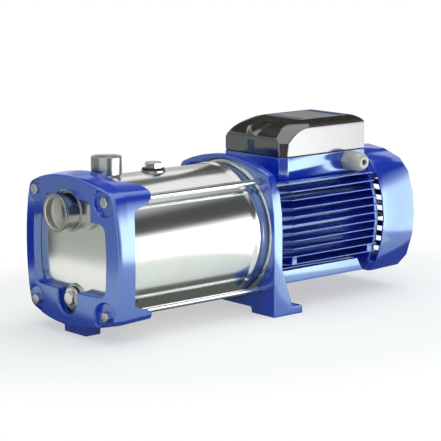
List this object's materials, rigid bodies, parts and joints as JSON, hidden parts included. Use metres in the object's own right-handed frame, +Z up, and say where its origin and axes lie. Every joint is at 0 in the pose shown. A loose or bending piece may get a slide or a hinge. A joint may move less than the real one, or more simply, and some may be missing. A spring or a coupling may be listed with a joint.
{
  "type": "horizontal multistage pump with electric motor",
  "caption": "Horizontal self-priming multistage centrifugal pump with a stainless barrel, blue cast brackets, a finned electric motor and a dark terminal box.",
  "frame": {"origin": "middle of the front foot's sole, under the shaft line", "axes": "+X along the shaft from the suction end to the motor, +Z up, the cable gland is on the -Y side"},
  "size_m": [0.566, 0.2054, 0.2516],
  "materials": {
    "blue_enamel": "smooth glossy royal-blue enamel on cast and pressed metal",
    "stainless_steel": "bright drawn sheet and turned stainless steel",
    "zinc_plated_steel": "zinc-plated fasteners",
    "cast_brass": "cast and turned brass",
    "bearing_steel": "ground and polished bearing steel",
    "laminated_steel": "stacked electrical sheet, lightly oiled",
    "enamelled_copper": "varnished copper winding",
    "stage_polymer": "moulded glass-filled polymer",
    "black_plastic": "moulded black plastic",
    "dark_hood_plastic": "glossy dark olive-black moulded plastic",
    "light_grey_plastic": "satin light-grey moulded plastic",
    "capacitor_can": "plain white plastic can",
    "black_rubber": "dull black rubber",
    "carbon_graphite": "lapped carbon seal face",
    "alumina_ceramic": "lapped white ceramic"
  },
  "bodies": {
    "frame": {"front_bracket": "blue_enamel", "motor_bracket": "blue_enamel", "motor_housing": "blue_enamel", "rear_end_shield": "blue_enamel", "fan_cover": "blue_enamel", "terminal_box_base": "blue_enamel", "pump_body": "stainless_steel", "suction_socket": "stainless_steel", "delivery_socket": "stainless_steel", "filler_boss": "stainless_steel", "drain_boss": "stainless_steel", "inlet_wall": "stainless_steel", "back_plate": "stainless_steel", "tie_bolt_1": "zinc_plated_steel", "tie_bolt_2": "zinc_plated_steel", "tie_bolt_3": "zinc_plated_steel", "tie_bolt_4": "zinc_plated_steel", "motor_stud_1": "zinc_plated_steel", "motor_stud_2": "zinc_plated_steel", "motor_stud_3": "zinc_plated_steel", "motor_stud_4": "zinc_plated_steel", "front_bearing_outer": "bearing_steel", "rear_bearing_outer": "bearing_steel", "stator_core": "laminated_steel", "stator_winding": "enamelled_copper", "ejector_tube": "stage_polymer", "stage_cover": "stage_polymer", "diffuser_1": "stage_polymer", "diffuser_2": "stage_polymer", "diffuser_3": "stage_polymer", "diffuser_4": "stage_polymer", "terminal_block": "black_plastic", "terminal_box_cover": "dark_hood_plastic", "gland_body": "light_grey_plastic", "gland_nut": "light_grey_plastic", "capacitor": "capacitor_can", "body_o_ring": "black_rubber", "terminal_box_gasket": "black_rubber", "gland_seal": "black_rubber", "seal_seat": "alumina_ceramic"},
    "rotating_assembly": {"shaft": "stainless_steel", "impeller_nut": "stainless_steel", "impeller_1": "cast_brass", "impeller_2": "cast_brass", "impeller_3": "cast_brass", "impeller_4": "cast_brass", "seal_ring": "carbon_graphite", "seal_spring": "stainless_steel", "front_bearing_inner": "bearing_steel", "rear_bearing_inner": "bearing_steel", "rotor": "laminated_steel", "fan": "black_plastic"},
    "front_cage": {"front_bearing_cage": "bearing_steel"},
    "rear_cage": {"rear_bearing_cage": "bearing_steel"},
    "filler_washer": {"filler_plug_washer": "black_rubber"},
    "filler_plug": {"filler_plug": "stainless_steel"},
    "drain_washer": {"drain_plug_washer": "black_rubber"},
    "drain_plug": {"drain_plug": "stainless_steel"}
  },
  "joints": [
    {"name": "shaft_spin", "type": "hinge", "parent": "frame", "child": "rotating_assembly", "pos_m": [0.27, 0, 0.1079], "axis": [1, 0, 0], "continuous": true},
    {"name": "front_cage_spin", "type": "hinge", "parent": "frame", "child": "front_cage", "pos_m": [0.263, 0, 0.1079], "axis": [1, 0, 0], "continuous": true},
    {"name": "rear_cage_spin", "type": "hinge", "parent": "frame", "child": "rear_cage", "pos_m": [0.4515, 0, 0.1079], "axis": [1, 0, 0], "continuous": true},
    {"name": "filler_plug_rise", "type": "slide", "parent": "frame", "child": "filler_washer", "axis": [0, 0, 1], "range_m": [0, 0.009]},
    {"name": "filler_plug_turn", "type": "hinge", "parent": "filler_washer", "child": "filler_plug", "pos_m": [0.119, 0, 0.2], "axis": [0, 0, 1], "range_deg": [0, 1800]},
    {"name": "drain_plug_withdraw", "type": "slide", "parent": "frame", "child": "drain_washer", "axis": [-1, 0, 0], "range_m": [0, 0.009]},
    {"name": "drain_plug_turn", "type": "hinge", "parent": "drain_washer", "child": "drain_plug", "pos_m": [-0.015, 0, 0.0479], "axis": [-1, 0, 0], "range_deg": [0, 1800]}
  ],
  "couplings": [
    {"joint": "front_cage_spin", "follows": "shaft_spin", "ratio": 0.417},
    {"joint": "rear_cage_spin", "follows": "shaft_spin", "ratio": 0.438},
    {"joint": "filler_plug_rise", "follows": "filler_plug_turn", "m_per_rad": 0.00028648},
    {"joint": "drain_plug_withdraw", "follows": "drain_plug_turn", "m_per_rad": 0.00028648}
  ]
}
